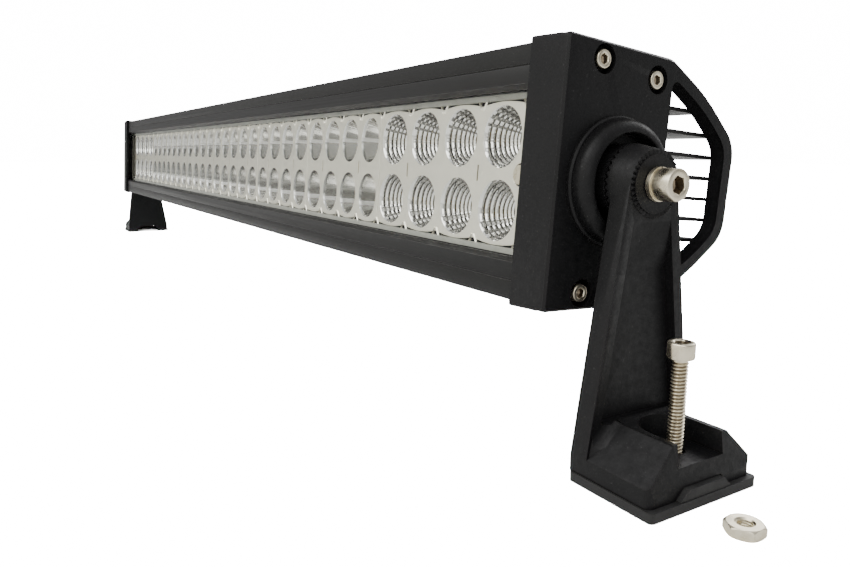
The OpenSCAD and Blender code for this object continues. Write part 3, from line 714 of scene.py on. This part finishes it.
def add_screw(bm, place, d, length, head_d, head_h, across, pitch, plain=0.0):
    """Socket head screw along local Z: head above 0, threaded shank below. plain is its bare length."""
    r, h = d / 2, head_d / 2
    corner = across / 2 / math.cos(math.pi / 6)
    rows = [(r - 0.9, -length)]
    rows += threaded_rows(r, 0.58 * pitch, pitch, -length + 0.05, -0.5 - plain)
    rows += [(r, -0.4), (r + 0.08, -0.12), (r + 0.25, 0.0), (h - 0.35, 0.0), (h - 0.1, 0.08), (h, 0.3)]
    rows += [(h, head_h - 0.55), (h - 0.06, head_h - 0.3), (h - 0.22, head_h - 0.08), (h - 0.45, head_h)]
    rows += [(corner + 0.22, head_h), (corner + 0.08, head_h - 0.06), (corner, head_h - 0.16)]
    mouth = len(rows)
    rows += [(lambda a: hexagon(a, across), head_h - 0.32), (lambda a: hexagon(a, across), head_h * 0.46)]
    rows += [(across * 0.42, head_h * 0.4), (0.1, head_h * 0.22)]
    rings = revolve(bm, place, rows, SCREW_AROUND)
    # thread roots take the darker metal: painted shade in the grooves
    back = place.inverted()
    for f in bm.faces:
        at = back @ f.calc_center_median()
        if at.z < 0 and f.material_index == 0 and math.hypot(at.x, at.y) < r - 0.3 * pitch:
            f.material_index = 1
    # the socket's inside takes the darker metal too: painted shade in the hollow
    inside = {v for ring in rings[mouth:] for v in ring}
    for f in {f for v in inside for f in v.link_faces}:
        if all(v in inside for v in f.verts):
            f.material_index = 1


def screws(name, places, sizes, body, node_name, plain=0.0):
    bm = bmesh.new()
    for place in places:
        add_screw(bm, place, *sizes, plain=plain)
    return piece(name, bm, [NICKEL, SOCKET_PAINTED_SHADE], body, (node_name,), 30)


def nut(name, place, across, thick, bore, pitch, body, node_name):
    chamfer = 0.6
    rise = 0.9 / chamfer
    low_r = across / 2 - 0.07

    def side(z):
        edge = min(z, thick - z)
        limit = low_r + rise * edge
        return (lambda a: min(hexagon(a, across), limit), z)

    steps = [chamfer * i / 6 for i in range(7)]
    rows = [side(z) for z in steps] + [side(thick - z) for z in reversed(steps)]
    rows += [(bore + 0.55, thick), (bore + 0.1, thick - 0.5)]
    inner = threaded_rows(bore, -0.4 * pitch, pitch, 0.4, thick - 0.5)
    rows += inner[::-1] + [(bore + 0.1, 0.4), (bore + 0.5, 0.0)]
    bm = bmesh.new()
    rings = revolve(bm, place, rows, NUT_AROUND, (False, False))
    last, first = rings[-1], rings[0]
    for k in range(NUT_AROUND):
        after = (k + 1) % NUT_AROUND
        bm.faces.new((last[k], last[after], first[after], first[k]))
    return piece(name, bm, [NICKEL], body, (node_name,), 32)


# Out from the lamp's end, then up to the underside of the mounting bolt's head, or back to the nut
MOUNT_BOLT = (28.9, 40.15)
PIVOT_HEAD_X = 17.9
NUT_PLACE = (56.2, -4.6)
PIVOT_TURN, NUT_TURN = 0.21, math.radians(28)


def bracket_place(sign):
    """Millimetres out from the end of the lamp, back from the pivot and up from the base."""
    flip = Matrix.Diagonal((sign, 1, 1, 1))
    return flip @ Matrix.Translation((END_X, PIVOT_Y, 0)) @ Matrix.Scale(MM, 4)


# Diameter, length, head diameter and height, hexagon and pitch of each screw
MOUNT_SCREW = (4.83, 31.75, 7.92, 4.83, 3.97, 1.058)
PIVOT_SCREW = (6.35, 19.05, 9.53, 6.35, 4.76, 1.27)
CAP_SCREW = (3.5, 16, 5.74, 3.5, 2.78, 0.79)
PIVOT_PLAIN = 3.0
NUT_SIZE = (9.53, 3.2, 2.15, 1.058)     # across flats, thickness, bore radius, pitch
CAP_SCREW_DEEP = 3.6
CAP_SCREW_TURN = 0.3                    # per millimetre of height, so that the sockets differ
CAP_SCREW_SPOTS = ((14.6, 35.2), (14.6, -35.2), (38.2, 32.2), (38.2, -32.2))


def make_fasteners():
    outward = Matrix.Rotation(math.radians(90), 4, "Y")
    for side, sign in SIDES:
        base = bracket_place(sign)
        x, z = MOUNT_BOLT
        at = base @ Matrix.Translation((x, 0, z))
        screws("mount_bolt_%s_threaded" % side, [at], MOUNT_SCREW, side + "_mount_bolt", "mount_bolt_" + side)
        at = base @ Matrix.Translation((PIVOT_HEAD_X, 0, PIVOT_Z / MM)) @ outward
        at = at @ Matrix.Rotation(PIVOT_TURN, 4, "Z")
        screws("pivot_bolt_%s_threaded" % side, [at], PIVOT_SCREW, "lamp", "pivot_bolt_" + side, PIVOT_PLAIN)
        lamp = Matrix.Diagonal((sign, 1, 1, 1)) @ TO_LAMP
        spots = []
        for v, w in CAP_SCREW_SPOTS:
            at = lamp @ Matrix.Translation((HALF - CAP_SCREW_DEEP, v, w)) @ outward
            spots.append(at @ Matrix.Rotation(CAP_SCREW_TURN * w, 4, "Z"))
        screws("cap_screws_%s_threaded" % side, spots, CAP_SCREW, "lamp", "cap_screws_" + side)
        x, y = NUT_PLACE
        at = base @ Matrix.Translation((x, y, 0)) @ Matrix.Rotation(NUT_TURN, 4, "Z")
        nut("mount_nut_%s_threaded" % side, at, *NUT_SIZE, side + "_mount_nut", "mount_nut_" + side)


# ---------- floor and light ----------

# Brightness that only the camera sees, so that floor and backdrop look white
FLOOR_SEEN = 26.0
BACKDROP_SEEN = 16.0
FLOOR_REACH = 6.0       # metres


def seen_and_lit(tree, seen, lit, output):
    """One shader for the camera's own view and another for everything the light does."""
    path = node(tree, "ShaderNodeLightPath")
    mix = node(tree, "ShaderNodeMixShader")
    tree.links.new(path.outputs["Is Camera Ray"], mix.inputs["Fac"])
    tree.links.new(lit, mix.inputs[1])
    tree.links.new(seen, mix.inputs[2])
    tree.links.new(mix.outputs["Shader"], output.inputs["Surface"])


def make_floor():
    mesh = bpy.data.meshes.new("floor")
    corners = [(FLOOR_REACH * x, FLOOR_REACH * y, 0) for x, y in ((-1, -1), (1, -1), (1, 1), (-1, 1))]
    mesh.from_pydata(corners, [], [(0, 1, 2, 3)])
    floor = link(bpy.data.objects.new("floor", mesh))
    m = bpy.data.materials.new("pale_floor")
    m.use_nodes = True
    tree = m.node_tree
    tree.nodes.remove(tree.nodes["Principled BSDF"])
    seen = node(tree, "ShaderNodeBsdfDiffuse", Color=(FLOOR_SEEN, FLOOR_SEEN, FLOOR_SEEN, 1))
    lit = node(tree, "ShaderNodeBsdfDiffuse", Color=(0.88, 0.88, 0.87, 1))
    seen_and_lit(tree, seen.outputs["BSDF"], lit.outputs["BSDF"], tree.nodes["Material Output"])
    mesh.materials.append(m)


def area_light(name, place, target, size, power):
    data = bpy.data.lights.new(name, "AREA")
    data.shape = "RECTANGLE"
    data.size, data.size_y = size
    data.energy = power
    lamp = link(bpy.data.objects.new(name, data))
    lamp.location = place
    lamp.rotation_euler = (Vector(target) - Vector(place)).to_track_quat("-Z", "Y").to_euler()


def make_light():
    """A white studio, brightest in front, less so overhead and behind, and dim past the bar's two ends."""
    world = bpy.data.worlds.new("studio")
    bpy.context.scene.world = world
    world.use_nodes = True
    tree = world.node_tree
    lit = tree.nodes["Background"]
    lit.inputs["Strength"].default_value = 1.0
    seen = node(tree, "ShaderNodeBackground", Strength=BACKDROP_SEEN)
    seen.inputs["Color"].default_value = (1, 1, 1, 1)
    coords = node(tree, "ShaderNodeTexCoord")
    split = node(tree, "ShaderNodeSeparateXYZ")
    tree.links.new(coords.outputs["Generated"], split.inputs["Vector"])
    back = spread(tree, split.outputs["Y"], 0, 1, -1, 1)
    up = spread(tree, split.outputs["Z"], 0, 1, -1, 1)
    front_glow, back_glow = (1.55, 1.53, 1.42), grey(0.9)
    round_about = ramp(tree, back, [(0.0, front_glow), (0.3, grey(0.6)), (0.5, grey(0.16)),
                                    (0.85, grey(0.3)), (1.0, back_glow)])
    above = ramp(tree, up, [(0.5, grey(0.0)), (0.75, grey(0.15)), (1.0, grey(0.6))])
    tree.links.new(add_colours(tree, round_about, above, 1.0), lit.inputs["Color"])
    seen_and_lit(tree, seen.outputs["Background"], lit.outputs["Background"], tree.nodes["World Output"])
    area_light("key", (0.1, -1.1, 1.3), (0.1, 0, 0.05), (1.8, 1.0), 16)
    area_light("side", (1.5, -0.7, 0.9), (0.4, 0, 0.08), (0.7, 0.7), 4)
    area_light("back", (-0.3, 1.3, 0.9), (0, 0, 0.05), (1.8, 0.8), 16)


make_camera()
dress_nodes()
make_reflectors()
make_fasteners()
soften("housing", "lamp", ANODISED, ANODISED_EDGE_HIGHLIGHT, 0.2, segments=2)
for side, _ in SIDES:
    soften("end_cap_" + side, "lamp", POWDER, POWDER_EDGE_HIGHLIGHT, 0.55)
    soften("bracket_" + side, side + "_bracket", POWDER, POWDER_EDGE_HIGHLIGHT, 0.55)
make_floor()
make_light()
